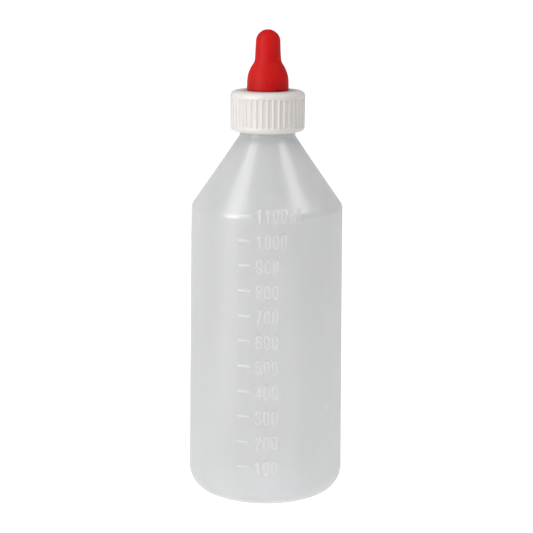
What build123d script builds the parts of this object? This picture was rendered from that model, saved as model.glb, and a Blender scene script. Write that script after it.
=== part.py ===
"""A one-litre calf feeding bottle: a blow-moulded bottle with a screw neck, a ribbed screw
cap with a hole in its top, and a rubber teat whose flange the cap clamps on the bottle's lip.
A valve disc sits in the teat's flange. It holds a small ball valve that lets air in as the
calf drinks, and that shuts when the bottle is turned teat down.

Millimetres, +Z up. The origin is the centre of the standing face. The graduation faces -Y.
"""

from build123d import *
from math import asin, cos, degrees, pi, radians, sin, sqrt
import os

os.makedirs("parts", exist_ok=True)

# ---- Bottle -----------------------------------------------------------------------------
body_radius = 47.25
wall = 1.1
foot_cut = 6.45  # the foot's corner is cut off at 45 degrees this far back, then rounded
foot_upper_corner = 13.2  # rounding between the wall and the cut
foot_lower_corner = 8.4  # rounding between the cut and the standing face
push_up = 4.5  # height of the hollow under the bottle
push_up_radius = 30.25
push_up_side = 1.6  # how far the hollow's steep side leans in
shoulder_z = 173.1  # where the wall and the cone would meet without their rounding
shoulder_corner = 7.0
neck_radius = 17.4
neck_base_z = 216.1
neck_corner = 1.5
neck_bore = 15.9
threaded_radius = 18.2
threaded_from_z = 222.0
lip_z = 237.45
lip_corner = 0.4

# ---- Graduation, raised on the front of the bottle -------------------------------------------
mark_volume = 100_000.0  # cubic millimetres between marks, which is 100 ml
mark_count = 11
mark_pitch = mark_volume / (pi * (body_radius - wall) ** 2)
mark_relief = 0.2
mark_plane_y = 35.0  # the marks are drawn on a plane this far in front of the axis
first_mark_z = 23.7
digit_width = 3.7
digit_height = 8.5
digit_pitch = 4.9
label_left = -6.1
stroke = 1.1
bend = 1.2  # rounding of a character's curves
arch = 0.6  # rounding of a small letter's curves
kink = 0.1  # rounding of a character's angles
tick_length = 7.4
tick_centre_x = -13.0
tick_rise = 0.4  # a tick stands this far above the middle of its number

# ---- Screw thread ------------------------------------------------------------------------------
thread_pitch = 5.0
thread_depth = 1.9
thread_root_half = 1.35
thread_crest_half = 0.55
thread_sink = 0.3  # how far a thread reaches into the wall that carries it
neck_thread_z = 224.5
neck_thread_turns = 1.5
cap_thread_turns = 1.25
cap_thread_start = 90.0  # degrees round from where the neck's thread starts
thread_offset = 2.05  # the cap's thread runs this far under the neck's

# ---- Screw cap ---------------------------------------------------------------------------------
cap_radius = 23.5
cap_foot_radius = 23.25
cap_bore = 20.4
cap_hole = 12.2
cap_bottom_z = 219.1
cap_top_z = 244.3
cap_plate = 2.5
cap_top_corner = 3.4
cap_bottom_corner = 2.7
cap_mouth_edge = 0.1
cap_edge = 0.5
groove_count = 40
groove_width = 2.35
groove_depth = 0.55
groove_bottom_z = 222.5
groove_top_z = 240.3
groove_corner = 0.7

# ---- Teat --------------------------------------------------------------------------------------
fit_gap = 0.05  # between pieces that meet without gripping
bulb_radius = 13.05
bulb_edge = 0.7
bulb_start_z = 249.0  # the bulb is straight up to here
bulb_curve = 20.5
bulb_turn = 35.0
waist_curve = 6.0
shaft_taper = 3.2
tip_radius = 7.65
teat_top_z = 282.5
teat_wall = 2.2
teat_neck_radius = 12.0
teat_neck_bore = 9.8
flange_radius = 19.5
flange_lip_bore = 15.65
slit_length = 4.5
slit_width = 0.3

# ---- Valve disc, ball and cage -------------------------------------------------------------------
disc_radius = 16.5
disc_bottom_z = 238.7
disc_top_z = 240.3
milk_port = 5.0
vent_angle = -61.4  # direction of the vent, from +X
vent_radius = 12.8  # distance of the vent from the bottle's axis
vent_hole = 0.75
vent_groove = 1.2
ball_radius = 1.5
boss_radius = 2.8
boss_bore = 2.3
boss_height = 1.6
cage_radius = 2.28
cage_bore = 1.7
cage_bottom_z = 234.8
cage_floor = 0.8
cage_slot = 0.9  # width of the two crossed slots in the cage's floor
cage_slot_length = 2.9

# ---- Worked out ------------------------------------------------------------------------------------
cone_slope = (body_radius - neck_radius) / (neck_base_z - shoulder_z)
cap_underside_z = cap_top_z - cap_plate
flange_bottom_z = lip_z + fit_gap
flange_top_z = cap_underside_z - fit_gap
bulb_bottom_z = cap_top_z + fit_gap
vent_centre = (vent_radius * cos(radians(vent_angle)), vent_radius * sin(radians(vent_angle)))
cage_floor_z = cage_bottom_z + cage_floor
ball_rest_z = cage_floor_z + sqrt(ball_radius**2 - cage_slot**2 / 2) + fit_gap / 2

# The characters' strokes, in a box one unit wide and one high: each a rounding and its corners.
characters = {
    "0": [(bend, [(0, 1), (1, 1), (1, 0), (0, 0), (0, 1)])],
    "1": [(kink, [(0.1, 0.8), (0.6, 1), (0.6, 0)])],
    "2": [
        (bend, [(0, 0.75), (0, 1), (1, 1), (1, 0.62)]),
        (kink, [(1, 0.62), (0, 0), (1, 0)]),
    ],
    "3": [
        (bend, [(0, 0.75), (0, 1), (1, 1), (1, 0.53), (0.4, 0.53)]),
        (bend, [(0.4, 0.53), (1, 0.53), (1, 0), (0, 0), (0, 0.25)]),
    ],
    "4": [(kink, [(0.75, 0), (0.75, 1), (0, 0.28), (1.05, 0.28)])],
    "5": [
        (kink, [(0.95, 1), (0.1, 1), (0, 0.53)]),
        (bend, [(0, 0.53), (1, 0.53), (1, 0), (0, 0), (0, 0.25)]),
    ],
    "6": [(bend, [(1, 0.76), (1, 1), (0, 1), (0, 0), (1, 0), (1, 0.56), (0, 0.56)])],
    "7": [(kink, [(0, 1), (1, 1), (0.3, 0)])],
    "8": [
        (bend, [(0, 1), (1, 1), (1, 0.53), (0, 0.53), (0, 1)]),
        (bend, [(0, 0.53), (1, 0.53), (1, 0), (0, 0), (0, 0.53)]),
    ],
    "9": [(bend, [(0, 0.24), (0, 0), (1, 0), (1, 1), (0, 1), (0, 0.44), (1, 0.44)])],
    "m": [
        (arch, [(0, 0), (0, 0.62), (0.6, 0.62), (0.6, 0)]),
        (arch, [(0.6, 0.3), (0.6, 0.62), (1.2, 0.62), (1.2, 0)]),
    ],
    "l": [(arch, [(0.2, 1), (0.2, 0), (0.7, 0)])],
}


def blown_shape(inset, neck):
    """The bottle's solid outline moved in by inset: a cylinder, a cone and a neck of its own."""
    radius = body_radius - inset
    cut = foot_cut + inset * (sqrt(2) - 1)
    slant = sqrt(1 + cone_slope**2)
    cone_foot_z = shoulder_z - inset * (slant - 1) / cone_slope
    cone_top_z = shoulder_z + (body_radius - inset * slant - neck) / cone_slope
    corners = {
        (0, inset): 0,
        (body_radius - cut, inset): foot_lower_corner - inset,
        (radius, cut): foot_upper_corner - inset,
        (radius, cone_foot_z): shoulder_corner - inset,
        (neck, cone_top_z): neck_corner + inset,
        (neck, lip_z): 0,
        (0, lip_z): 0,
    }
    with BuildPart() as shape:
        with BuildSketch(Plane.XZ):
            with BuildLine():
                FilletPolyline(*corners, radius=corners.values(), close=True)
            make_face()
        revolve(axis=Axis.Z)
    return shape.part


def push_up_shape(inset):
    """The hollow under the bottle, or with an inset the wall over it: a dome with a steep side."""
    radius = push_up_radius + inset
    rise = push_up + inset
    side_top = (radius - push_up_side, rise / 2)
    dome_radius = side_top[0] ** 2 / rise + rise / 4
    dome_angle = degrees(asin(side_top[0] / dome_radius))
    with BuildPart() as dome:
        with BuildSketch(Plane.XZ):
            with BuildLine():
                top = JernArc((0, rise), (1, 0), dome_radius, -dome_angle)
                Polyline(top @ 1, (radius, 0), (radius, -wall), (0, -wall), (0, rise))
            make_face()
        revolve(axis=Axis.Z)
    return dome.part


def draw_character(name, left, foot):
    """Draws one character into the sketch that is open."""
    for rounding, corners in characters[name]:
        points = []
        for across, up in corners:
            x = left + stroke / 2 + across * (digit_width - stroke)
            y = foot + stroke / 2 + up * (digit_height - stroke)
            points.append((x, y))
        with BuildLine() as path:
            FilletPolyline(*points, radius=rounding)
        trace(path.line, line_width=stroke)
        if points[0] != points[-1]:
            with Locations(points[0], points[-1]):
                Circle(stroke / 2)


def graduation():
    """The marks and their numbers, following the bottle's outside."""
    with BuildPart() as marks:
        with BuildSketch(Plane.XZ.offset(mark_plane_y)):
            for row in range(mark_count):
                middle_z = first_mark_z + row * mark_pitch
                label = f"{(row + 1) * 100}"
                if row == mark_count - 1:
                    label = label + "ml"
                with Locations((tick_centre_x, middle_z + tick_rise)):
                    SlotOverall(tick_length, stroke)
                for place, name in enumerate(label):
                    draw_character(name, label_left + place * digit_pitch, middle_z - digit_height / 2)
        extrude(amount=body_radius)
        add(blown_shape(-mark_relief, neck_radius), mode=Mode.INTERSECT)
        add(blown_shape(wall / 2, neck_radius - wall / 2), mode=Mode.SUBTRACT)
    return marks.part


def screw_thread(root_radius, depth, first_z, turns):
    """A helical ridge with rounded-off ends. It points inwards when its depth is negative."""
    side = 1 if depth > 0 else -1
    sink = -side * thread_sink
    path = Helix(
        pitch=thread_pitch,
        height=turns * thread_pitch,
        radius=root_radius,
        center=(0, 0, first_z),
        mode=Mode.PRIVATE,
    )
    last_angle = turns * 2 * pi
    start = Plane(origin=path @ 0, x_dir=(1, 0, 0), z_dir=path % 0)
    end = Plane(origin=path @ 1, x_dir=(cos(last_angle), sin(last_angle), 0), z_dir=path % 1)
    section = [
        (sink, -thread_root_half),
        (0, -thread_root_half),
        (depth, -thread_crest_half),
        (depth, thread_crest_half),
        (0, thread_root_half),
        (sink, thread_root_half),
    ]
    with BuildPart() as ridge:
        with BuildSketch(start):
            with BuildLine():
                Polyline(*section, close=True)
            make_face()
        sweep(path=path, is_frenet=True)
        for plane, turn in ((start, side), (end, -side)):
            with BuildSketch(plane):
                with BuildLine():
                    Polyline(*section, close=True)
                make_face()
            pivot = plane.from_local_coords((sink, 0, 0))
            revolve(axis=Axis(pivot, plane.y_dir * turn), revolution_arc=90)
    return ridge.part


def teat_shape(inset, bottom_z):
    """The teat above the cap, moved in by inset: a bulb, a waist, a tapering shaft and a round tip."""
    radius = bulb_radius - inset
    tip = tip_radius - inset
    tip_centre_z = teat_top_z - tip_radius
    with BuildPart() as shape:
        with BuildSketch(Plane.XZ):
            with BuildLine():
                side = Line((radius, bottom_z), (radius, bulb_start_z))
                bulb = JernArc(side @ 1, side % 1, bulb_curve - inset, bulb_turn)
                waist = JernArc(bulb @ 1, bulb % 1, waist_curve + inset, shaft_taper - bulb_turn)
                end = CenterArc((0, tip_centre_z), tip, shaft_taper, 90 - shaft_taper)
                Line(waist @ 1, end @ 0)
                Polyline(end @ 1, (0, bottom_z), side @ 0)
            make_face()
        revolve(axis=Axis.Z)
    return shape.part


def vent_passage():
    """The air's way in: under the bulb's edge, down the teat's neck, over its flange and down."""
    half = vent_groove / 2
    inner = teat_neck_radius - half
    with BuildPart() as passage:
        with BuildSketch(Plane.XZ):
            with BuildLine():
                Polyline(
                    (inner, flange_top_z - half),
                    (vent_radius + half, flange_top_z - half),
                    (vent_radius + half, flange_top_z),
                    (teat_neck_radius, flange_top_z),
                    (teat_neck_radius, bulb_bottom_z),
                    (bulb_radius + half, bulb_bottom_z),
                    (bulb_radius + half, bulb_bottom_z + vent_groove),
                    (inner, bulb_bottom_z + vent_groove),
                    close=True,
                )
            make_face()
        extrude(amount=half, both=True)
        with BuildSketch(Plane.XY.offset(disc_top_z)):
            with Locations((vent_radius, 0)):
                Circle(half)
        extrude(amount=flange_top_z - disc_top_z)
    return passage.part.rotate(Axis.Z, vent_angle)


# ---- Bottle -------------------------------------------------------------------------------------
with BuildPart() as bottle:
    add(blown_shape(0, neck_radius))
    with BuildSketch(Plane.XY.offset(threaded_from_z)):
        Circle(threaded_radius)
    extrude(amount=lip_z - threaded_from_z)
    lip = bottle.edges().filter_by(GeomType.CIRCLE).sort_by(Axis.Z)[-1]
    fillet(lip, lip_corner)
    add(screw_thread(threaded_radius, thread_depth, neck_thread_z, neck_thread_turns))
    add(blown_shape(wall, neck_bore) - push_up_shape(wall), mode=Mode.SUBTRACT)
    add(push_up_shape(0), mode=Mode.SUBTRACT)
    add(graduation())
bottle.part.label = "bottle"
export_step(bottle.part, "parts/bottle.step")

# ---- Screw cap -----------------------------------------------------------------------------------
cap_corners = {
    (cap_bore, cap_bottom_z): cap_mouth_edge,
    (cap_foot_radius, cap_bottom_z): cap_bottom_corner,
    (cap_radius, cap_top_z): cap_top_corner,
    (cap_hole, cap_top_z): cap_edge,
    (cap_hole, cap_underside_z): 0,
    (cap_bore, cap_underside_z): cap_edge,
}
with BuildPart() as groove:
    with BuildSketch(Plane.YZ.offset(cap_radius - groove_depth)):
        with Locations((0, (groove_bottom_z + groove_top_z) / 2)):
            RectangleRounded(groove_width, groove_top_z - groove_bottom_z, groove_corner)
    extrude(amount=2 * groove_depth)

with BuildPart() as screw_cap:
    with BuildSketch(Plane.XZ):
        with BuildLine():
            FilletPolyline(*cap_corners, radius=cap_corners.values(), close=True)
        make_face()
    revolve(axis=Axis.Z)
    with PolarLocations(0, groove_count):
        add(groove.part, mode=Mode.SUBTRACT)
    cap_thread_z = neck_thread_z + thread_pitch * cap_thread_start / 360 - thread_offset
    cap_thread = screw_thread(cap_bore, -thread_depth, cap_thread_z, cap_thread_turns)
    add(cap_thread.rotate(Axis.Z, cap_thread_start))
screw_cap.part.label = "screw_cap"
export_step(screw_cap.part, "parts/screw_cap.step")

# ---- Teat ------------------------------------------------------------------------------------------
with BuildPart() as teat:
    add(teat_shape(0, bulb_bottom_z))
    fillet(teat.edges().group_by(Axis.Z)[0], bulb_edge)
    with BuildSketch(Plane.XY.offset(flange_top_z)):
        Circle(teat_neck_radius)
    extrude(amount=bulb_bottom_z - flange_top_z)
    with BuildSketch(Plane.XY.offset(flange_bottom_z)):
        Circle(flange_radius)
    extrude(amount=flange_top_z - flange_bottom_z)
    with BuildSketch(Plane.XY.offset(flange_bottom_z)):
        Circle(flange_lip_bore)
    extrude(amount=disc_bottom_z - flange_bottom_z, mode=Mode.SUBTRACT)
    with BuildSketch(Plane.XY.offset(disc_bottom_z - fit_gap)):
        Circle(disc_radius + fit_gap)
    extrude(amount=disc_top_z - disc_bottom_z + 2 * fit_gap, mode=Mode.SUBTRACT)
    with BuildSketch(Plane.XY.offset(disc_top_z)):
        Circle(teat_neck_bore)
    extrude(amount=bulb_start_z - disc_top_z, mode=Mode.SUBTRACT)
    add(teat_shape(teat_wall, bulb_bottom_z + teat_wall), mode=Mode.SUBTRACT)
    with BuildSketch(Plane.XY.offset(teat_top_z - 2 * teat_wall)):
        Rectangle(slit_length, slit_width)
        Rectangle(slit_width, slit_length)
    extrude(amount=2 * teat_wall, mode=Mode.SUBTRACT)
    add(vent_passage(), mode=Mode.SUBTRACT)
teat.part.label = "teat"
export_step(teat.part, "parts/teat.step")

# ---- Valve disc ------------------------------------------------------------------------------------
with BuildPart() as valve_disc:
    with BuildSketch(Plane.XY.offset(disc_bottom_z)):
        Circle(disc_radius)
        Circle(milk_port, mode=Mode.SUBTRACT)
    extrude(amount=disc_top_z - disc_bottom_z)
    with BuildSketch(Plane.XY.offset(disc_bottom_z - boss_height)):
        with Locations(vent_centre):
            Circle(boss_radius)
            Circle(boss_bore, mode=Mode.SUBTRACT)
    extrude(amount=boss_height)
    with BuildSketch(Plane.XY.offset(disc_bottom_z)):
        with Locations(vent_centre):
            Circle(cage_bore)
    extrude(amount=cage_bore - vent_hole, taper=45, mode=Mode.SUBTRACT)
    with BuildSketch(Plane.XY.offset(disc_bottom_z)):
        with Locations(vent_centre):
            Circle(vent_hole)
    extrude(amount=disc_top_z - disc_bottom_z, mode=Mode.SUBTRACT)
valve_disc.part.label = "valve_disc"
export_step(valve_disc.part, "parts/valve_disc.step")

# ---- Ball cage -------------------------------------------------------------------------------------
with BuildPart() as ball_cage:
    with BuildSketch(Plane.XY.offset(cage_bottom_z)):
        with Locations(vent_centre):
            Circle(cage_radius)
    extrude(amount=disc_bottom_z - cage_bottom_z)
    with BuildSketch(Plane.XY.offset(cage_floor_z)):
        with Locations(vent_centre):
            Circle(cage_bore)
    extrude(amount=disc_bottom_z - cage_floor_z, mode=Mode.SUBTRACT)
    with BuildSketch(Plane.XY.offset(cage_bottom_z)):
        with Locations(vent_centre):
            SlotOverall(cage_slot_length, cage_slot)
            SlotOverall(cage_slot_length, cage_slot, rotation=90)
    extrude(amount=cage_floor, mode=Mode.SUBTRACT)
ball_cage.part.label = "ball_cage"
export_step(ball_cage.part, "parts/ball_cage.step")

# ---- Valve ball ------------------------------------------------------------------------------------
with BuildPart() as valve_ball:
    with Locations((*vent_centre, ball_rest_z)):
        Sphere(ball_radius)
valve_ball.part.label = "valve_ball"
export_step(valve_ball.part, "parts/valve_ball.step")
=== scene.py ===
"""Visual model of a calf feeding bottle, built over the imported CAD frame."""
from math import cos, pi, radians, sin, sqrt, tan

import bpy
import numpy as np
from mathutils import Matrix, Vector


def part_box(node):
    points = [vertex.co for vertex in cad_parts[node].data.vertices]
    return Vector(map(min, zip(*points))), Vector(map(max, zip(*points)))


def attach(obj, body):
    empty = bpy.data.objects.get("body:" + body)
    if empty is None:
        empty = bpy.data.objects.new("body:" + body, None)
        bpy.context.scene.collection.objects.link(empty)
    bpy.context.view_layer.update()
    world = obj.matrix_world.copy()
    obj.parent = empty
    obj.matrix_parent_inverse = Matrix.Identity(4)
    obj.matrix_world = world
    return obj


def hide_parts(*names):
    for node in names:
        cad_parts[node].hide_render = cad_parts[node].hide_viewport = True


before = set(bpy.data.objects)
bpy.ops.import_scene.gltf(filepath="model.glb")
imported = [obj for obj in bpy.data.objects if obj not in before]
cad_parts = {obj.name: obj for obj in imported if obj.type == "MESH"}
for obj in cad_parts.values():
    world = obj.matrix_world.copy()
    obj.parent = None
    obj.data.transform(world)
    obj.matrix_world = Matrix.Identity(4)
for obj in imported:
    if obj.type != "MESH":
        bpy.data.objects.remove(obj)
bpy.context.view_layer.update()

MM = 0.001
HAIR = 1e-9                     # too small a length or angle to matter


# ---- Sizes, in millimetres, read from the frame where a node's box gives them ----------------
def limits(node):
    """The lowest and highest corner of a CAD node's box."""
    low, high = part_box(node)
    return np.array(low) / MM, np.array(high) / MM


_, bottle_high = limits("bottle")
cap_low, cap_high = limits("screw_cap")
teat_low, teat_high = limits("teat")

# Bottle
SKIN = 0.06                     # room kept inside the CAD for the mould's parting line
BODY_R = bottle_high[0] - SKIN
LIP_Z = bottle_high[2]
WALL = 1.1
FOOT_CUT = 6.45                 # the foot's corner is cut at 45 degrees and rounded at both ends
FOOT_UPPER, FOOT_LOWER = 13.2, 8.4
SHOULDER_Z, SHOULDER_ROUND = LIP_Z - 64.35, 7.0
NECK_BASE_Z, NECK_BASE_ROUND = LIP_Z - 21.35, 1.5
NECK_R, NECK_BORE = 17.4, 15.9
THREADED_R, THREADED_Z = 18.2, LIP_Z - 15.45
PUSH_UP, PUSH_UP_R = 4.5, 30.25         # the hollow under the bottle
PUSH_UP_LEAN = 1.6              # how far in its side has come halfway up
DOME_R, DOME_ROUND = 11.0, 60.0         # the slight dome in its middle
DOME_SAG, DOME_SAG_INSIDE = 0.32, 0.3
CONE_SLOPE = (BODY_R - NECK_R) / (NECK_BASE_Z - SHOULDER_Z)

# Thread
PITCH = 5.0
THREAD_DEPTH = 1.9
ROOT_HALF, CREST_HALF = 1.35, 0.55      # half its width where it leaves the wall and at its crest
RUN_OUT = 0.018                 # turns over which the ends fade
NECK_THREAD_Z, NECK_TURNS = LIP_Z - 12.95, 1.5
CAP_THREAD_START = 90.0
CAP_THREAD_DROP = 2.05          # how far the cap's thread runs under the neck's
CAP_THREAD_Z = NECK_THREAD_Z + PITCH * CAP_THREAD_START / 360 - CAP_THREAD_DROP
CAP_TURNS = 1.25

# Cap
CAP_R, CAP_FOOT_R = 23.5, 23.25
CAP_Z0, CAP_Z1 = cap_low[2], cap_high[2]
CAP_BORE, CAP_HOLE, CAP_PLATE = 20.4, 12.2, 2.5
CAP_ROUND = 3.4
GROOVES = 40
GROOVE_HALF, GROOVE_CORNER, GROOVE_EDGE, GROOVE_DEPTH = 1.175, 0.7, 0.62, 0.55
GROOVE_LOW, GROOVE_HIGH = CAP_Z0 + 3.6, CAP_Z1 - 4.1

# Teat
GAP = 0.05                      # between the teat and the cap
TEAT_TOP = teat_high[2]
TEAT_WALL = 2.2
FLANGE_R = 19.5
FLANGE_Z0, FLANGE_Z1 = teat_low[2], CAP_Z1 - CAP_PLATE - GAP
FLANGE_MOUTH_R = 15.65
DISC_R = 16.55                  # the pocket for the valve disc
DISC_Z0, DISC_Z1 = FLANGE_Z0 + 1.15, FLANGE_Z0 + 2.9
TEAT_NECK_R, TEAT_BORE = 12.0, 9.8
BULB_R, BULB_Z0, BULB_STRAIGHT_Z = 13.05, CAP_Z1 + GAP, TEAT_TOP - 33.5
BULB_CURVE, WAIST_CURVE = 20.5, 6.0     # radii of the side's two arcs
BULB_TURN = 35.0                # degrees that the bulb's arc turns inwards
TEAT_TAPER = 3.2                # degrees that the side leans in above the waist
TIP_R = 7.65
VENT_ANGLE = -61.4

# Raised scale
MARKS, MARK_ML = 11, 100
INSIDE_R = 46.15                # inside of the body in the CAD
MARK_PITCH = MARK_ML * 1000 / (pi * INSIDE_R ** 2)
FIRST_MARK_Z = 23.7
RELIEF = 0.17
STROKE, EDGE = 1.1, 0.32        # a stroke's width and the width of its sloping side
STROKE_STEP = 0.35
DIGIT_W, DIGIT_H, DIGIT_PITCH = 3.7, 8.5, 4.9
LABEL_LEFT, LABEL_PLACES = -6.1, 6
TICK_X, TICK_LENGTH, TICK_RISE, TICK_MARGIN = -13.0, 7.4, 0.4, 0.3
SCALE_R, SCALE_Y = 38.0, -30.0          # all marks are outside this radius, in front of this y
SCALE_Z0, SCALE_Z1 = 15.0, 182.0        # and between these heights


# ---- Profiles ----------------------------------------------------------------------------------
def rounded(before, corner, after, rounding, step):
    """Points of the arc that rounds a corner."""
    a, b = before - corner, after - corner
    a /= np.linalg.norm(a)
    b /= np.linalg.norm(b)
    half = np.arccos(np.clip(a @ b, -1, 1)) / 2
    back = rounding / tan(half)
    middle = corner + (a + b) / np.linalg.norm(a + b) * rounding / sin(half)
    start, end = corner + a * back - middle, corner + b * back - middle
    turn = pi - 2 * half
    count = max(2, int(rounding * turn / step))
    shares = [k / count for k in range(count + 1)]
    return [middle + (start * sin((1 - t) * turn) + end * sin(t * turn)) / sin(turn) for t in shares]


def even_path(points, step):
    """The points in order, with others about step apart put between them."""
    path = [points[0]]
    for a, b in zip(points, points[1:]):
        count = max(1, int(np.linalg.norm(b - a) / step))
        path += [a + (b - a) * k / count for k in range(1, count + 1)]
    return np.array(path)


def smooth_path(corners, closed=False, step=0.05):
    """Points about step apart along a path of (r, z, rounding) corners."""
    places = [np.array(corner[:2]) for corner in corners]
    points = []
    for i, (_, _, rounding) in enumerate(corners):
        at_end = not closed and i in (0, len(corners) - 1)
        if rounding == 0 or at_end:
            points.append(places[i])
        else:
            points += rounded(places[i - 1], places[i], places[(i + 1) % len(corners)], rounding, step)
    if closed:
        points.append(points[0])
    return even_path(points, step)


LEAST_GAP = 0.08                # least distance to a row that is made for a turn
LEAST_END_GAP = 0.05            # least distance between the last two rows


def pick_rows(path, longest, most_turn=0.21):
    """Thins a path to rows, and gives each row's distance along it.

    A new row comes after longest(r, z, distance), or after a turn of most_turn radians.
    """
    run = np.concatenate([[0], np.cumsum(np.linalg.norm(np.diff(path, axis=0), axis=1))])
    tangent = np.gradient(path, axis=0)
    heading = np.unwrap(np.arctan2(tangent[:, 1], tangent[:, 0]))
    rows = [0]
    for i in range(1, len(path) - 1):
        gap = run[i] - run[rows[-1]]
        turn = abs(heading[i] - heading[rows[-1]])
        if gap >= longest(*path[i], run[i]) or (turn >= most_turn and gap > LEAST_GAP):
            rows.append(i)
    rows.append(len(path) - 1)
    if len(rows) > 2 and run[rows[-1]] - run[rows[-2]] < LEAST_END_GAP:
        rows.pop(-2)
    return path[rows], run[rows]


def row_normals(rows, closed):
    """Unit normals to the right of the way the profile runs. An open one is level where it meets the axis."""
    if closed:
        t = np.roll(rows, -1, axis=0) - np.roll(rows, 1, axis=0)
    else:
        t = np.gradient(rows, axis=0)
        t[0], t[-1] = (1, 0), (-1, 0)
    t /= np.linalg.norm(t, axis=1)[:, None]
    return np.stack([t[:, 1], -t[:, 0]], axis=1)


def columns(regions, coarse, least=0.05):
    """Angles round the axis in radians: every coarse degrees, and finer in (low, high, step) regions.

    The last one is left out where it comes within least degrees of the first.
    """
    angles = []
    a = -180.0
    while a < 180 - HAIR:
        angles.append(a)
        step = coarse
        for low, high, fine in regions:
            for turn in (0, 360):
                if low + turn - HAIR <= a < high + turn - HAIR:
                    step = min(step, fine)
                elif a < low + turn < a + step:
                    step = low + turn - a
        a += step
    if 180 - angles[-1] < least:
        angles.pop()
    return np.radians(np.array(angles))


def fill(stops, step):
    """The stops in order, with even steps of about step put between them."""
    line = []
    for a, b in zip(stops, stops[1:]):
        count = max(1, round((b - a) / step))
        line += [a + (b - a) * k / count for k in range(count)]
    return line + [stops[-1]]


def show(name, data):
    """Puts a mesh, a lamp or a camera in the scene as a new object."""
    obj = bpy.data.objects.new(name, data)
    bpy.context.scene.collection.objects.link(obj)
    return obj


def swept_faces(n, m, closed):
    """Faces between n rows of m points, with a fan on the axis at each end of an open profile."""
    faces = []
    for i in range(n if closed else n - 1):
        i2 = (i + 1) % n
        for j in range(m):
            j2 = (j + 1) % m
            faces.append((i * m + j, i * m + j2, i2 * m + j2, i2 * m + j))
    if not closed:
        first_hub, last_hub, last_row = n * m, n * m + 1, (n - 1) * m
        for j in range(m):
            j2 = (j + 1) % m
            faces.append((first_hub, j2, j))
            faces.append((last_hub, last_row + j, last_row + j2))
    return faces


def lathe(name, rows, angles, shift, closed=False, marks=None):
    """A closed mesh swept round Z.

    shift(phi, r, z, row number) moves points along the profile's normal. Each of marks is such a
    function too, kept as a value on the points for the material to read.
    """
    n, m = len(rows), len(angles)
    phi = np.broadcast_to(angles, (n, m))
    r = np.broadcast_to(rows[:, :1], (n, m))
    z = np.broadcast_to(rows[:, 1:], (n, m))
    index = np.broadcast_to(np.arange(n)[:, None], (n, m))
    normals = row_normals(rows, closed)
    d = shift(phi, r, z, index)
    moved_r = r + normals[:, :1] * d
    moved_z = z + normals[:, 1:] * d
    points = np.stack([moved_r * np.cos(phi), moved_r * np.sin(phi), moved_z], axis=2).reshape(-1, 3)
    if not closed:
        points = np.concatenate([points, [[0, 0, moved_z[0].mean()], [0, 0, moved_z[-1].mean()]]])
    mesh = bpy.data.meshes.new(name)
    mesh.from_pydata((points * MM).tolist(), [], swept_faces(n, m, closed))
    for key, values in (marks or {}).items():
        flat = values(phi, r, z, index).reshape(-1)
        if not closed:
            flat = np.concatenate([flat, [flat[0], flat[-1]]])
        attribute = mesh.attributes.new(key, "FLOAT", "POINT")
        attribute.data.foreach_set("value", flat.astype(np.float32))
    mesh.polygons.foreach_set("use_smooth", [True] * len(mesh.polygons))
    mesh.update()
    return show(name, mesh)


# ---- Forms that several pieces share -------------------------------------------------------------
def ease(x):
    """0 up to x = 0, 1 from x = 1, and a smooth step between them."""
    x = np.clip(x, 0, 1)
    return x * x * (3 - 2 * x)


def near_angle(phi, degrees_at):
    """Signed angle in radians from a direction."""
    return (phi - radians(degrees_at) + pi) % (2 * pi) - pi


def waves(phi, z, table):
    """Slight unevenness: the sum of waves (height, lobes round the axis, radians per mm up, phase)."""
    return sum(height * np.sin(lobes * phi + rate * z + phase) for height, lobes, rate, phase in table)


def seam(phi, r, half_width, least_r):
    """1 on the mould's parting line, which runs down both sides, and 0 from half_width off it.

    It narrows nearer the axis than least_r.
    """
    off = np.minimum(abs(near_angle(phi, 0)), abs(near_angle(phi, 180))) * np.maximum(r, least_r)
    return ease(1 - off / half_width)


def thread_height(phi, z, first_z, turns, start=0.0):
    """How far a helical thread stands out, 0 to THREAD_DEPTH. It begins at first_z and start degrees."""
    height = np.zeros_like(z)
    base = (phi - radians(start)) % (2 * pi)
    for k in range(-1, int(turns) + 2):
        turn = base / (2 * pi) + k
        gap = abs(z - first_z - PITCH * turn)
        section = ease((ROOT_HALF - gap) / (ROOT_HALF - CREST_HALF))
        ends = ease((turn + RUN_OUT) / RUN_OUT) * ease((turns + RUN_OUT - turn) / RUN_OUT)
        height = np.maximum(height, THREAD_DEPTH * section * ends)
    return height


# ---- Raised scale ---------------------------------------------------------------------------------
BEND, ARCH, KINK = 1.2, 0.6, 0.1
MID = 0.53
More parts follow.
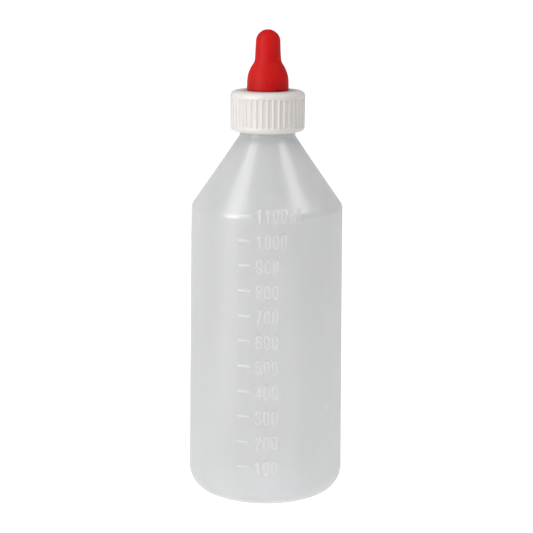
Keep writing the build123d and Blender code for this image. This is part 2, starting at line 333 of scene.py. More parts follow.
# Each character's strokes, as (rounding, corners), with the corners in shares of its width and height
STROKES = {
    "0": [(BEND, [(0, 1), (1, 1), (1, 0), (0, 0), (0, 1)])],
    "1": [(KINK, [(0.1, 0.8), (0.6, 1), (0.6, 0)])],
    "2": [(BEND, [(0, 0.75), (0, 1), (1, 1), (1, 0.62)]), (KINK, [(1, 0.62), (0, 0), (1, 0)])],
    "3": [(BEND, [(0, 0.75), (0, 1), (1, 1), (1, MID), (0.4, MID)]),
          (BEND, [(0.4, MID), (1, MID), (1, 0), (0, 0), (0, 0.25)])],
    "4": [(KINK, [(0.75, 0), (0.75, 1), (0, 0.28), (1.05, 0.28)])],
    "5": [(KINK, [(0.95, 1), (0.1, 1), (0, MID)]),
          (BEND, [(0, MID), (1, MID), (1, 0), (0, 0), (0, 0.25)])],
    "6": [(BEND, [(1, 0.76), (1, 1), (0, 1), (0, 0), (1, 0), (1, 0.56), (0, 0.56)])],
    "7": [(KINK, [(0, 1), (1, 1), (0.3, 0)])],
    "8": [(BEND, [(0, 1), (1, 1), (1, MID), (0, MID), (0, 1)]),
          (BEND, [(0, MID), (1, MID), (1, 0), (0, 0), (0, MID)])],
    "9": [(BEND, [(0, 0.24), (0, 0), (1, 0), (1, 1), (0, 1), (0, 0.44), (1, 0.44)])],
    "m": [(ARCH, [(0, 0), (0, 0.62), (0.6, 0.62), (0.6, 0)]),
          (ARCH, [(0.6, 0.3), (0.6, 0.62), (1.2, 0.62), (1.2, 0)])],
    "l": [(ARCH, [(0.2, 1), (0.2, 0), (0.7, 0)])],
}


def stroke_points(name, left, foot):
    """Each stroke of one character as a line of points (x, z)."""
    x0, z0 = left + STROKE / 2, foot + STROKE / 2
    width, height = DIGIT_W - STROKE, DIGIT_H - STROKE
    for rounding, corners in STROKES[name]:
        placed = [(x0 + a * width, z0 + b * height, rounding) for a, b in corners]
        if corners[0] == corners[-1]:
            yield smooth_path(placed[:-1], closed=True, step=STROKE_STEP)
        else:
            yield smooth_path(placed, step=STROKE_STEP)


def mark_lines():
    """The middle line of every raised stroke, as points (x, z) seen from the front."""
    for row in range(MARKS):
        middle = FIRST_MARK_Z + row * MARK_PITCH
        half = (TICK_LENGTH - STROKE) / 2
        tick_z = middle + TICK_RISE
        yield np.array([(TICK_X - half, tick_z), (TICK_X + half, tick_z)])
        label = str((row + 1) * MARK_ML) + ("ml" if row == MARKS - 1 else "")
        for place, name in enumerate(label):
            yield from stroke_points(name, LABEL_LEFT + place * DIGIT_PITCH, middle - DIGIT_H / 2)


def line_distance(x, z, points):
    """Distance from each (x, z) to a line of points."""
    best = np.full(x.shape, np.inf)
    for a, b in zip(points, points[1:]):
        ab = b - a
        length = ab @ ab
        if length < HAIR:
            continue
        t = np.clip(((x - a[0]) * ab[0] + (z - a[1]) * ab[1]) / length, 0, 1)
        best = np.minimum(best, np.hypot(x - a[0] - t * ab[0], z - a[1] - t * ab[1]))
    return best


def stroke_edges(start, middles):
    """Where the sloping sides of the strokes that are centred on start + middles begin and end."""
    sides = ((-1, 1), (-1, -1), (1, -1), (1, 1))
    halves = [side * (STROKE + soft * EDGE) / 2 for side, soft in sides]
    return [start + middle + half for middle in middles for half in halves]


def number_columns():
    """Distances from the bottle's middle, left to right, that follow the upright strokes."""
    stops = [TICK_X - TICK_LENGTH / 2 - TICK_MARGIN, TICK_X + TICK_LENGTH / 2 + TICK_MARGIN]
    for place in range(LABEL_PLACES):
        stops += stroke_edges(LABEL_LEFT + place * DIGIT_PITCH, (STROKE / 2, DIGIT_W - STROKE / 2))
    return fill(stops, 0.4)


def number_rows():
    """Heights above a number's foot that follow its level strokes."""
    bars = (STROKE / 2, STROKE / 2 + MID * (DIGIT_H - STROKE), DIGIT_H - STROKE / 2)
    return fill(stroke_edges(0.0, bars), 0.41)


def relief_share(phi, r, z):
    """1 on a raised mark, 0 off it, with a soft edge."""
    x, y = r * np.cos(phi), r * np.sin(phi)
    share = np.zeros(x.shape)
    front = (y < SCALE_Y) & (r > SCALE_R) & (z > SCALE_Z0) & (z < SCALE_Z1)
    margin = 1
    for line in mark_lines():
        low, high = line.min(0) - margin, line.max(0) + margin
        here = front & (x > low[0]) & (x < high[0]) & (z > low[1]) & (z < high[1])
        if here.any():
            d = line_distance(x[here], z[here], line)
            share[here] = np.maximum(share[here], ease((STROKE / 2 + EDGE / 2 - d) / EDGE))
    return share


# ---- Bottle --------------------------------------------------------------------------------------
WALL_WAVES = ((0.035, 3, 0.045, 0.0), (0.03, 5, -0.07, 1.3), (0.02, 2, 0.21, 0.6))
WALL_SINK = 0.085               # how far the uneven wall lies inside its outline on average
WAVE_Z0, WAVE_Z1, WAVE_R = 6.0, NECK_BASE_Z - 4, 20.0
WAVE_FADE_LOW, WAVE_FADE_HIGH = 12.0, 10.0
INNER_SHARE = 0.7               # how much of the unevenness the wall's inside has
SEAM_RISE, SEAM_HALF = 0.055, 0.42
PINCH_HALF, PINCH_END_R, PINCH_FADE, PINCH_RISE = 0.7, 23.0, 1.5, 0.22
RING_R, RING_HALF, RING_RISE = 4.2, 0.6, 0.18


def blown_corners(inset, neck):
    """Where the blown wall's straight runs meet, moved in by inset, from the foot to the neck."""
    radius = BODY_R - inset
    slant = sqrt(1 + CONE_SLOPE ** 2)
    foot = SHOULDER_Z - inset * (slant - 1) / CONE_SLOPE
    top = SHOULDER_Z + (BODY_R - inset * slant - neck) / CONE_SLOPE
    cut = FOOT_CUT + inset * (sqrt(2) - 1)
    return [(BODY_R - cut, inset, FOOT_LOWER - inset), (radius, cut, FOOT_UPPER - inset),
            (radius, foot, SHOULDER_ROUND - inset), (neck, top, NECK_BASE_ROUND + inset)]


def bottle_outline():
    """From the axis out along the base, up the outside, over the lip, down the inside and back."""
    side_r, side_z = PUSH_UP_R - PUSH_UP_LEAN, PUSH_UP / 2
    base = [(0.0, PUSH_UP, 0), (DOME_R, PUSH_UP - DOME_SAG, DOME_ROUND), (side_r, side_z, 1.6),
            (PUSH_UP_R, 0.0, 0.9)]
    neck = [(NECK_R, THREADED_Z, 0.25), (THREADED_R, THREADED_Z + 0.4, 0.3), (THREADED_R, LIP_Z, 0.45),
            (NECK_BORE, LIP_Z, 0.35)]
    floor = [(PUSH_UP_R + WALL, WALL, 1.5), (side_r + WALL, side_z + WALL, 1.8),
             (DOME_R, PUSH_UP + WALL - DOME_SAG_INSIDE, DOME_ROUND), (0.0, PUSH_UP + WALL, 0)]
    inside = list(reversed(blown_corners(WALL, NECK_BORE)))
    return smooth_path(base + blown_corners(0, NECK_R) + neck + inside + floor)


def bottle_rows():
    """The outline's rows, close together where the scale and the thread are, and which are outside."""
    outline = bottle_outline()
    lip_middle = NECK_BORE + 1.2
    past_middle = (outline[:, 1] > LIP_Z - HAIR) & (outline[:, 0] < lip_middle)
    outside = outline[:int(np.argmax(past_middle))]
    outside_length = np.sum(np.linalg.norm(np.diff(outside, axis=0), axis=1))
    levels = np.array(number_rows())
    scale_top = FIRST_MARK_Z + (MARKS - 0.4) * MARK_PITCH
    between_marks, in_marks, near_level, in_thread, in_foot, elsewhere = 1.6, 0.5, 0.026, 0.34, 1.0, 4.5

    def longest(r, z, along):
        outer = along < outside_length
        if outer and SCALE_Z0 < z < SHOULDER_Z + 6 and r > 40:
            above_foot = (z - FIRST_MARK_Z + DIGIT_H / 2 + 1) % MARK_PITCH - 1
            if above_foot > DIGIT_H + 0.5 or z > scale_top:
                return between_marks
            return 0.0 if np.min(abs(levels - above_foot)) < near_level else in_marks
        if outer and THREADED_Z - 0.5 < z < LIP_Z - 2:
            return in_thread
        if outer and z < WAVE_Z0:
            return in_foot
        return elsewhere

    rows, run = pick_rows(outline, longest)
    return rows, run < outside_length


def bottle_columns():
    """Angles that follow the scale's strokes on the front and the seams at both sides."""
    front = -np.arccos(np.array(number_columns()) / BODY_R)
    around = columns([(-3.0, 3.0, 0.5), (-180.0, -177.0, 0.5), (177.0, 180.0, 0.5)], 4.5)
    clear = 0.03
    around = around[(around < front[0] - clear) | (around > front[-1] + clear)]
    return np.sort(np.concatenate([around, front]))


def wall_unevenness(phi, r, z):
    """How far the blown wall's outside lies off its nominal surface."""
    wavy = (z > WAVE_Z0) & (z < WAVE_Z1) & (r > WAVE_R)
    d = np.where(wavy, waves(phi, z, WALL_WAVES) - WALL_SINK, 0.0)
    return d * ease((z - WAVE_Z0) / WAVE_FADE_LOW) * ease((WAVE_Z1 - z) / WAVE_FADE_HIGH)


def base_relief(phi, r):
    """Height of the pinched seam across the hollow base and of the ring round its middle."""
    pinch = ease(1 - abs(r * np.sin(phi)) / PINCH_HALF) * ease((PINCH_END_R - r) / PINCH_FADE)
    ring = ease(1 - abs(r - RING_R) / RING_HALF)
    return PINCH_RISE * pinch + RING_RISE * ring


def make_bottle():
    """The blown bottle with its wall, thread, raised scale, seams and hollow base."""
    rows, outer_row = bottle_rows()

    def shift(phi, r, z, index):
        outer = outer_row[index]
        d = wall_unevenness(phi, r, z)
        d = np.where(outer, d, -d * INNER_SHARE)
        d = d + np.where(outer, RELIEF * relief_share(phi, r, z), 0)
        d = d + np.where(outer & (z > 1) & (z < THREADED_Z), SEAM_RISE * seam(phi, r, SEAM_HALF, 1), 0)
        helix = thread_height(phi, z, NECK_THREAD_Z, NECK_TURNS)
        d = d + np.where(outer & (z > THREADED_Z) & (z < LIP_Z - 0.5) & (r > NECK_R), helix, 0)
        base = outer & (z < PUSH_UP + 0.5) & (r < PUSH_UP_R - 2)
        return d + np.where(base, base_relief(phi, r), 0)

    def relief(phi, r, z, index):
        return np.where(outer_row[index], relief_share(phi, r, z), 0)

    return lathe("bottle_blown", rows, bottle_columns(), shift, marks={"relief": relief})


# ---- Cap -----------------------------------------------------------------------------------------
SINK_R, SINK_HALF, SINK_DEPTH = 17.2, 3.2, 0.05     # the shallow ring in the cap's top


def cap_rows():
    """The cap's rows, close together where its thread and the ends of its grip grooves are."""
    under, split_z = CAP_Z1 - CAP_PLATE, CAP_Z1 - 1.1
    outline = smooth_path(
        [(CAP_HOLE, split_z, 0), (CAP_HOLE, under, 0.2), (CAP_BORE, under, 0.7), (CAP_BORE, CAP_Z0, 0.1),
         (CAP_FOOT_R, CAP_Z0, 2.7), (CAP_R - 0.02, CAP_Z1, CAP_ROUND), (CAP_HOLE, CAP_Z1, 0.55),
         (CAP_HOLE, split_z, 0)]
    )
    thread_low, thread_high = CAP_THREAD_Z - 2, CAP_THREAD_Z + PITCH * CAP_TURNS + 2
    straight_low, straight_high = GROOVE_LOW + 1.8, GROOVE_HIGH - 1.6
    in_straight, in_curves, in_thread, elsewhere = 1.6, 0.3, 0.36, 2.5

    def longest(r, z, along):
        if r > CAP_FOOT_R - 1:
            return in_straight if straight_low <= z <= straight_high else in_curves
        if abs(r - CAP_BORE) < 0.1 and thread_low < z < thread_high:
            return in_thread
        return elsewhere

    rows, _ = pick_rows(outline[::-1], longest)
    return rows[:-1][::-1]


def groove(phi, r, z, index):
    """1 in the bottom of a grip groove, 0 on a rib or a plain band."""
    across = abs(((phi * GROOVES / (2 * pi)) % 1 - 0.5) / GROOVES * 2 * pi * CAP_R)
    along = abs(z - (GROOVE_LOW + GROOVE_HIGH) / 2)
    qx = across - (GROOVE_HALF - GROOVE_CORNER)
    qz = along - ((GROOVE_HIGH - GROOVE_LOW) / 2 - GROOVE_CORNER)
    outside = np.hypot(np.maximum(qx, 0), np.maximum(qz, 0))
    d = outside + np.minimum(np.maximum(qx, qz), 0) - GROOVE_CORNER
    return np.where((r > CAP_FOOT_R - 1.5) & (z > CAP_Z0 + 1), ease(0.5 - d / GROOVE_EDGE), 0)


def make_cap():
    """The screw cap with its grip grooves outside and its thread inside."""

    def shift(phi, r, z, index):
        helix = thread_height(phi, z, CAP_THREAD_Z, CAP_TURNS, CAP_THREAD_START)
        d = np.where((abs(r - CAP_BORE) < 0.1) & (z > CAP_Z0 + 1), helix, 0)
        sink = ease(1 - abs(r - SINK_R) / SINK_HALF) * SINK_DEPTH * (z > CAP_Z1 - 0.5)
        return d - GROOVE_DEPTH * groove(phi, r, z, index) - sink

    return lathe("cap_moulded", cap_rows(), columns([], 0.75), shift, closed=True, marks={"groove": groove})


# ---- Teat ----------------------------------------------------------------------------------------
TEAT_WAVES = ((0.05, 2, 0.3, 0.0), (0.03, 3, -0.5, 1.0))
TEAT_SINK = 0.09
TEAT_SEAM_RISE, TEAT_SEAM_HALF = 0.07, 0.4
SLIT_HALF, SLIT_REACH, SLIT_FADE, SLIT_DEPTH = 0.26, 2.35, 0.3, 0.6
NOTCH_HALF, NOTCH_TOP, NOTCH_DEPTH = 1.05, BULB_Z0 + 1.45, 1.0
ARC_STEPS, TIP_STEPS = 40, 60


def teat_side(inset):
    """The teat's side from the bulb's straight part to the tip: arcs that meet smoothly."""
    points = []
    x, z, lean = BULB_R - inset, BULB_STRAIGHT_Z, 0.0
    bulb = (BULB_CURVE - inset, BULB_TURN)
    waist = (-(WAIST_CURVE + inset), TEAT_TAPER - BULB_TURN)
    for radius, turn in (bulb, waist):
        centre_x, centre_z = x - radius * cos(lean), z - radius * sin(lean)
        start = lean
        for k in range(ARC_STEPS + 1):
            lean = start + radians(turn) * k / ARC_STEPS
            points.append((centre_x + radius * cos(lean), centre_z + radius * sin(lean)))
        x, z = points[-1]
    for k in range(TIP_STEPS + 1):
        t = radians(TEAT_TAPER + (90 - TEAT_TAPER) * k / TIP_STEPS)
        points.append(((TIP_R - inset) * cos(t), TEAT_TOP - TIP_R + (TIP_R - inset) * sin(t)))
    return points


def teat_outline():
    """From the axis down the inside, round the disc's pocket and the flange, and up to the tip."""
    inner = [(0.0, TEAT_TOP - TEAT_WALL)] + list(reversed(teat_side(TEAT_WALL)))[1:]
    inner += [(BULB_R - TEAT_WALL, BULB_Z0 + TEAT_WALL), (TEAT_BORE, BULB_Z0 + TEAT_WALL - 1.1)]
    flange = smooth_path(
        [(TEAT_BORE, DISC_Z1, 0), (DISC_R, DISC_Z1, 0.1), (DISC_R, DISC_Z0, 0.1),
         (FLANGE_MOUTH_R, DISC_Z0, 0.2), (FLANGE_MOUTH_R, FLANGE_Z0, 0.3), (FLANGE_R, FLANGE_Z0, 0.5),
         (FLANGE_R, FLANGE_Z1, 0.5), (TEAT_NECK_R, FLANGE_Z1, 0.2), (TEAT_NECK_R, BULB_Z0, 0.2),
         (BULB_R, BULB_Z0, 0.7), (BULB_R, BULB_STRAIGHT_Z, 0)]
    )
    corners = inner + list(flange) + teat_side(0)[1:]
    path = even_path([np.array(corner) for corner in corners], 0.05)
    path[-1, 0] = 0.0
    return path


def slit_cut(x, y):
    """Depth of the crossed slits in the tip."""
    depth = np.zeros_like(x)
    for across, along in ((x, y), (y, x)):
        line = ease(1 - abs(across) / SLIT_HALF) * ease((SLIT_REACH - abs(along)) / SLIT_FADE)
        depth = np.maximum(depth, SLIT_DEPTH * line)
    return depth


def make_teat():
    """The teat with its flange, seams, crossed slits and the vent notch at the bulb's foot."""
    in_slits, in_foot, elsewhere = 0.14, 0.2, 1.1

    def longest(r, z, along):
        if z > TEAT_TOP - 1.2 and r < 2.9:
            return in_slits
        if BULB_Z0 - 0.3 < z < BULB_Z0 + 2.2 and r > 11:
            return in_foot
        return elsewhere

    rows, _ = pick_rows(teat_outline(), longest, most_turn=0.16)
    outer_from = int(np.argmax(rows[:, 0] > FLANGE_R - 0.1))
    seam_regions = [(-2.0, 2.0, 0.5), (178.0, 180.0, 0.5), (-180.0, -178.0, 0.5)]
    angles = columns([(VENT_ANGLE - 6, VENT_ANGLE + 6, 0.6)] + seam_regions, 2.5)

    def shift(phi, r, z, index):
        outside = index > outer_from
        body = outside & (z > BULB_Z0 + 1)
        uneven = (waves(phi, z, TEAT_WAVES) - TEAT_SINK) * ease((z - BULB_Z0 - 1) / 3)
        d = np.where(body, uneven, 0)
        d = d + np.where(body & (z < TEAT_TOP - 2), TEAT_SEAM_RISE * seam(phi, r, TEAT_SEAM_HALF, 0.5), 0)
        tip = outside & (z > TEAT_TOP - 1.5)
        d = np.where(tip, np.minimum(d, -slit_cut(r * np.cos(phi), r * np.sin(phi))), d)
        off = abs(near_angle(phi, VENT_ANGLE)) * r
        notch = ease((NOTCH_HALF - off) / 0.3) * ease((NOTCH_TOP - z) / 0.35)
        foot = outside & (z < BULB_Z0 + 2) & (z > BULB_Z0 - 0.2) & (r > 12.2)
        return d - np.where(foot, NOTCH_DEPTH * notch, 0)

    return lathe("teat_rubber", rows, angles, shift)


# ---- Materials. Lengths in them are in metres -----------------------------------------------------
class Nodes:
    """A short way to write a node material."""

    def __init__(self, name):
        self.material = bpy.data.materials.new(name)
        self.material.use_nodes = True
        self.tree = self.material.node_tree
        self.tree.nodes.clear()
        self.place = self.add("ShaderNodeTexCoord").outputs["Object"]

    def add(self, kind, settings=None, **inputs):
        """Adds a node. An input is called by its name, or by _ and its number."""
        node = self.tree.nodes.new(kind)
        for key, value in (settings or {}).items():
            setattr(node, key, value)
        for key, value in inputs.items():
            socket = node.inputs[int(key[1:]) if key[0] == "_" else key.replace("_", " ")]
            if isinstance(value, bpy.types.NodeSocket):
                self.tree.links.new(value, socket)
            else:
                socket.default_value = value
        return node

    def noise(self, scale, detail=3.0, roughness=0.55, stretch=(1, 1, 1)):
        place = self.add("ShaderNodeMapping", Vector=self.place, Scale=stretch).outputs[0]
        noise = self.add("ShaderNodeTexNoise", Vector=place, Scale=scale, Detail=detail, Roughness=roughness)
        return noise.outputs["Fac"]

    def spread(self, value, low, high, out_low=0.0, out_high=1.0):
        """Goes smoothly from out_low to out_high while value goes from low to high."""
        return self.add("ShaderNodeMapRange", {"interpolation_type": "SMOOTHSTEP"}, Value=value, From_Min=low,
                        From_Max=high, To_Min=out_low, To_Max=out_high).outputs[0]

    def blend(self, factor, a, b):
        """A colour between a and b, each of them a socket or (red, green, blue)."""
        a, b = (c if isinstance(c, bpy.types.NodeSocket) else (*c, 1) for c in (a, b))
        return self.add("ShaderNodeMix", {"data_type": "RGBA"}, _0=factor, _6=a, _7=b).outputs[2]

    def mix(self, factor, a, b):
        """A surface between a and b."""
        return self.add("ShaderNodeMixShader", _0=factor, _1=a, _2=b).outputs[0]

    def maths(self, operation, a, b):
        return self.add("ShaderNodeMath", {"operation": operation}, _0=a, _1=b).outputs[0]

    def times(self, a, b):
        return self.maths("MULTIPLY", a, b)

    def attribute(self, name):
        return self.add("ShaderNodeAttribute", {"attribute_name": name}).outputs["Fac"]

    def height(self):
        """Height above the floor, with the piece at rest."""
        return self.add("ShaderNodeSeparateXYZ", _0=self.place).outputs["Z"]

    def length(self, vector):
        return self.add("ShaderNodeVectorMath", {"operation": "LENGTH"}, _0=vector).outputs["Value"]

    def radius(self):
        """Distance from the bottle's axis."""
        flat = self.add("ShaderNodeVectorMath", {"operation": "MULTIPLY"}, _0=self.place, _1=(1, 1, 0))
        return self.length(flat.outputs[0])

    def bump(self, height, distance, strength, **under):
        """A bumpy normal, over another one when that is given as Normal."""
        bump = self.add("ShaderNodeBump", Height=height, Distance=distance, Strength=strength, **under)
        return bump.outputs[0]

    def surface(self, tone, rough, normal, **more):
        """A whole surface, with more of the Principled node's inputs by name."""
        skin = self.add("ShaderNodeBsdfPrincipled", Base_Color=tone, Roughness=rough, Normal=normal, **more)
        return skin.outputs[0]

    def finish(self, shader):
        out = self.add("ShaderNodeOutputMaterial")
        self.tree.links.new(shader, out.inputs["Surface"])
        return self.material


def bottle_plastic():
    """Milky polyethylene, clearer where it is seen face on and at the hollow base, with painted shade on the
    neck's reflection under the cap.
    """
    n = Nodes("bottle_plastic")
    height = n.height()
    relief = n.attribute("relief")
    cloud = n.noise(18, 3, 0.5, (1, 1, 0.35))
    fine = n.noise(900, 2, 0.5)
    streak = n.noise(120, 3, 0.6, (1, 1, 0.06))
    scuff = n.spread(n.noise(260, 4, 0.7, (1, 1, 0.25)), 0.62, 0.78)
    tone = n.blend(n.spread(cloud, 0.35, 0.65), (0.86, 0.862, 0.865), (0.90, 0.902, 0.905))
    tone = n.blend(n.times(n.spread(streak, 0.45, 0.8), 0.35), tone, (0.93, 0.932, 0.935))
    tone = n.blend(n.times(relief, 0.8), tone, (0.985, 0.985, 0.985))
    rough = n.maths("ADD", n.spread(cloud, 0.3, 0.7, 0.22, 0.265), n.times(scuff, 0.03))
    normal = n.bump(fine, 0.00004, 0.5)
    normal = n.bump(streak, 0.00012, 0.35, Normal=normal)
    matt = n.add("ShaderNodeBsdfDiffuse", Color=tone, Normal=normal).outputs[0]
    through = n.add("ShaderNodeBsdfTranslucent", Color=tone, Normal=normal).outputs[0]
    milky = n.mix(0.6, matt, through)
    facing = n.add("ShaderNodeLayerWeight", Blend=0.35, Normal=normal).outputs["Facing"]
    hollow = n.times(n.spread(n.radius(), 0.029, 0.033, 0.45, 0.0), n.spread(height, 0.007, 0.010, 1.0, 0.0))
    clear_share = n.maths("ADD", n.spread(facing, 0.0, 0.95, 0.45, 0.12), hollow)
    clear_share = n.times(clear_share, n.spread(relief, 0, 1, 1.0, 0.45))
    clear = n.add("ShaderNodeBsdfTransparent", Color=(0.95, 0.952, 0.955, 1)).outputs[0]
    wall = n.mix(clear_share, milky, clear)
    mirror = n.maths("MINIMUM", n.add("ShaderNodeFresnel", IOR=1.5, Normal=normal).outputs[0], 0.085)
    outward = n.maths("SUBTRACT", 1.0, n.add("ShaderNodeNewGeometry").outputs["Backfacing"])
    mirror = n.times(mirror, outward)
    # Less reflection on the neck just under the cap: painted shade from the cap.
    neck_shade_under_cap = n.spread(height, 0.211, 0.2155, 1.0, 0.3)
    mirror = n.times(mirror, neck_shade_under_cap)
    gloss = n.add("ShaderNodeBsdfGlossy", Color=(1, 1, 1, 1), Roughness=rough, Normal=normal).outputs[0]
    return n.finish(n.mix(mirror, wall, gloss))


def cap_plastic():
    """Off-white plastic, darker in the grip grooves from grime and painted shade, and in a ring of painted
    shade on the top, round the teat.
    """
    n = Nodes("cap_plastic")
    top_z = CAP_Z1 * MM
    cloud = n.noise(70, 3, 0.5)
    fine = n.noise(1500, 2, 0.5)
    # Darker in the grip grooves: partly grime, partly painted shade in the grooves.
    groove_grime_and_shade = n.times(n.attribute("groove"), n.spread(n.noise(300, 4, 0.7), 0.35, 0.75, 0.8, 1.0))
    # A darker ring on the top round the teat: painted shade from the teat.
    on_top = n.spread(n.height(), top_z - 0.0009, top_z - 0.0003)
    ring = n.times(n.spread(n.radius(), 0.0135, 0.0205, 1.0, 0.0), on_top)
    tone = n.blend(n.spread(cloud, 0.3, 0.7), (0.75, 0.717, 0.692), (0.79, 0.756, 0.731))
    tone = n.blend(n.times(groove_grime_and_shade, 0.34), tone, (0.60, 0.58, 0.55))
    # Painted shade round the teat.
    tone = n.blend(n.times(ring, 0.95), tone, (0.42, 0.407, 0.394))
    rough = n.spread(n.noise(420, 4, 0.65), 0.3, 0.7, 0.36, 0.5)
    normal = n.bump(fine, 0.00003, 0.6)
    return n.finish(n.surface(tone, rough, normal, IOR=1.49, Subsurface_Weight=0.15,
                              Subsurface_Radius=(1, 0.9, 0.8), Subsurface_Scale=0.001))


def teat_rubber():
    """Red rubber with a faint pale bloom."""
    n = Nodes("teat_rubber")
    cloud = n.noise(90, 3, 0.5)
    fine = n.noise(1400, 3, 0.6)
    bloom = n.spread(n.noise(240, 4, 0.7), 0.5, 0.8)
    tone = n.blend(n.spread(cloud, 0.3, 0.7), (0.535, 0.004, 0.0035), (0.605, 0.006, 0.005))
    tone = n.blend(n.times(bloom, 0.14), tone, (0.62, 0.06, 0.05))
    rough = n.spread(cloud, 0.3, 0.7, 0.48, 0.6)
    normal = n.bump(fine, 0.00006, 0.6)
    return n.finish(n.surface(tone, rough, normal, IOR=1.45, Specular_IOR_Level=0.12, Subsurface_Weight=0.12,
                              Subsurface_Radius=(1, 0.25, 0.2), Subsurface_Scale=0.0015, Sheen_Weight=0.02,
                              Sheen_Roughness=0.6))


def valve_plastic(name, dark, light):
    """Hard plastic between two tones."""
    n = Nodes(name)
    tone = n.blend(n.spread(n.noise(220, 3, 0.6), 0.3, 0.7), dark, light)
    rough = n.spread(n.noise(700, 3, 0.6), 0.3, 0.7, 0.34, 0.5)
    normal = n.bump(n.noise(2500, 2, 0.5), 0.00002, 0.6)
    return n.finish(n.surface(tone, rough, normal))


def ball_steel():
    """Polished steel with slightly uneven gloss."""
    n = Nodes("ball_steel")
    tone = n.blend(n.spread(n.noise(1200, 4, 0.6), 0.35, 0.65), (0.55, 0.55, 0.56), (0.66, 0.66, 0.67))
    rough = n.spread(n.noise(4000, 3, 0.6), 0.3, 0.7, 0.14, 0.3)
    normal = n.bump(n.noise(6000, 2, 0.5), 0.000006, 0.6)
    return n.finish(n.surface(tone, rough, normal, Metallic=1.0))


def paint(obj, material):
    """Makes this the object's only material."""
    obj.data.materials.clear()
    obj.data.materials.append(material)


for obj, body, node, slot, material in (
    (make_bottle(), "bottle", "bottle", "bottle_plastic", bottle_plastic()),
    (make_cap(), "cap", "screw_cap", "cap_plastic", cap_plastic()),
    (make_teat(), "teat", "teat", "teat_rubber", teat_rubber()),
):
    paint(obj, material)
    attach(obj, body)
    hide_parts(node)

paint(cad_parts["valve_disc"], valve_plastic("disc_plastic", (0.78, 0.78, 0.76), (0.84, 0.84, 0.82)))
paint(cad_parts["ball_cage"], valve_plastic("cage_plastic", (0.68, 0.69, 0.67), (0.76, 0.76, 0.74)))
paint(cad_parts["valve_ball"], ball_steel())


# ---- Floor, light and camera, in metres ---------------------------------------------------------------
FLOOR_HALF = 40.0
AIM = (0, 0, 0.17)              # what most lamps point at, above the middle of the bottle
COOL_WHITE = (0.985, 0.99, 1.0)
STRIP_ANGLE = -145              # where the bright strip is, in degrees round the object


def floor_glow(n):
    """How much light the floor gives off by itself, for each kind of ray that meets it.

    Matt surfaces get more from near the object but less from right under it. Glossy ones also see
    a bright strip on one side.
    """
    ray = n.add("ShaderNodeLightPath").outputs
    spot = n.add("ShaderNodeSeparateXYZ", Vector=n.place).outputs
    away = n.length(n.place)
    glow = n.spread(ray["Is Camera Ray"], 0, 1, 0.65, 0.9)
    under = n.times(n.spread(away, 0.05, 0.16, 0.1, 0.0), ray["Is Diffuse Ray"])
    contact = n.times(n.spread(away, 0.042, 0.075, 0.07, 0.0), ray["Is Diffuse Ray"])
    glow = n.maths("SUBTRACT", n.maths("ADD", glow, under), contact)
    turn = n.maths("SUBTRACT", n.maths("ARCTAN2", spot["Y"], spot["X"]), radians(STRIP_ANGLE))
    strip = n.spread(n.maths("ABSOLUTE", turn, 0.0), 0.0, 0.5, 1.4, 0.0)
    strip = n.times(strip, n.spread(away, 0.12, 0.45))
    return n.maths("ADD", glow, n.times(strip, ray["Is Glossy Ray"]))


def floor_white():
    """A white floor that can be looked through from below."""
    n = Nodes("floor")
    matt = n.add("ShaderNodeBsdfDiffuse", Color=(0.52, 0.52, 0.52, 1)).outputs[0]
    glow = n.add("ShaderNodeEmission", Color=(1, 1, 1, 1), Strength=floor_glow(n)).outputs[0]
    lit = n.add("ShaderNodeAddShader", _0=matt, _1=glow).outputs[0]
    below = n.add("ShaderNodeNewGeometry").outputs["Backfacing"]
    nothing = n.add("ShaderNodeBsdfTransparent", Color=(1, 1, 1, 1)).outputs[0]
    return n.finish(n.mix(below, lit, nothing))


def make_floor():
    """The ground that the object stands on."""
    mesh = bpy.data.meshes.new("floor")
    s = FLOOR_HALF
    mesh.from_pydata([(-s, -s, 0), (s, -s, 0), (s, s, 0), (-s, s, 0)], [], [(0, 1, 2, 3)])
    obj = show("floor", mesh)
    paint(obj, floor_white())


def lamp(name, place, aim, size, power, colour=(1, 1, 1), diffuse=True, glossy=True):
    """A rectangular lamp that points at aim and can be left out of matt or of glossy light."""
    data = bpy.data.lights.new(name, "AREA")
    data.shape = "RECTANGLE"
    data.size, data.size_y = size
    data.energy = power
    data.color = colour
    obj = show(name, data)
    obj.location = place
    direction = Vector(aim) - Vector(place)
    obj.rotation_euler = direction.to_track_quat("-Z", "Y").to_euler()
    obj.visible_diffuse = diffuse
    obj.visible_glossy = glossy


def make_lamps():
    """The softboxes and the window give only highlights, overhead and fill_right only matt light."""
    lamp("softbox_left", (-0.82, -0.37, 1.22), AIM, (0.58, 0.5), 4.3, COOL_WHITE, diffuse=False)
    lamp("softbox_right", (0.85, -0.30, 1.22), AIM, (0.5, 0.5), 3.6, COOL_WHITE, diffuse=False)
    lamp("overhead", (-0.04, -0.45, 1.5), AIM, (0.9, 0.9), 8.8, glossy=False)
    lamp("key_left", (-1.62, -1.15, 0.55), (0, 0, 0.15), (0.6, 1.2), 12.5)
    lamp("window_left", (-1.12, -0.98, 0.72), AIM, (1.15, 1.2), 20.0, diffuse=False)
    lamp("fill_right", (1.7, -0.8, 0.42), (0, 0, 0.08), (0.8, 1.0), 1.7, glossy=False)


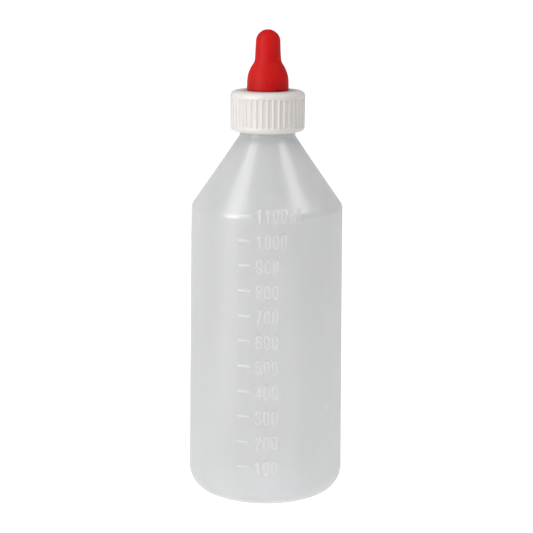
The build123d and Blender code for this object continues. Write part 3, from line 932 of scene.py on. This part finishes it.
def make_sky():
    """White to the camera. As a light it is dimmer, and fades from left to right."""
    world = bpy.data.worlds.new("studio")
    bpy.context.scene.world = world
    world.use_nodes = True
    tree = world.node_tree
    background = tree.nodes["Background"].inputs
    background["Color"].default_value = (1, 1, 1, 1)
    place = tree.nodes.new("ShaderNodeTexCoord").outputs["Generated"]
    side = tree.nodes.new("ShaderNodeSeparateXYZ")
    fade = tree.nodes.new("ShaderNodeMapRange")
    for key, value in (("From Min", -1.0), ("From Max", 1.0), ("To Min", 0.48), ("To Max", 0.22)):
        fade.inputs[key].default_value = value
    seen_by = tree.nodes.new("ShaderNodeMix")
    seen_by.inputs["B"].default_value = 1.0
    to_camera = tree.nodes.new("ShaderNodeLightPath").outputs["Is Camera Ray"]
    tree.links.new(place, side.inputs[0])
    tree.links.new(side.outputs["X"], fade.inputs["Value"])
    tree.links.new(to_camera, seen_by.inputs["Factor"])
    tree.links.new(fade.outputs[0], seen_by.inputs["A"])
    tree.links.new(seen_by.outputs["Result"], background["Strength"])


def shift_lens(data, obj, height, shift):
    """Shifts the lens while the camera is within a millimetre of height, and centres it elsewhere."""
    curve = data.driver_add("shift_y")
    curve.driver.type = "AVERAGE"
    place = curve.driver.variables.new()
    place.type = "TRANSFORMS"
    place.targets[0].id = obj
    place.targets[0].transform_type = "LOC_Z"
    for extra in list(curve.modifiers):
        curve.modifiers.remove(extra)
    steps = ((height - 1.0, 0.0), (height - MM, shift), (height + MM, 0.0))
    curve.keyframe_points.clear()
    curve.keyframe_points.add(len(steps))
    for point, step in zip(curve.keyframe_points, steps):
        point.co = step
        point.interpolation = "CONSTANT"


def make_camera():
    """A level camera in front, with its lens shifted down so that upright edges stay upright."""
    width = 0.3331              # what the picture takes in at the object
    distance = 0.945
    height, centre_z = 0.3288, 0.1341
    sensor = 36.0
    data = bpy.data.cameras.new("camera")
    data.sensor_width = sensor
    data.lens = sensor * distance / width
    data.shift_x = -0.0042
    data.clip_end = 200.0
    obj = show("camera", data)
    obj.location = (0.0, -distance, height)
    obj.rotation_euler = (pi / 2, radians(-0.41), 0.0)
    bpy.context.scene.camera = obj
    shift_lens(data, obj, height, (centre_z - height) / width)


make_floor()
make_lamps()
make_sky()
bpy.context.scene.view_settings.view_transform = "Standard"
bpy.context.scene.view_settings.look = "None"
make_camera()
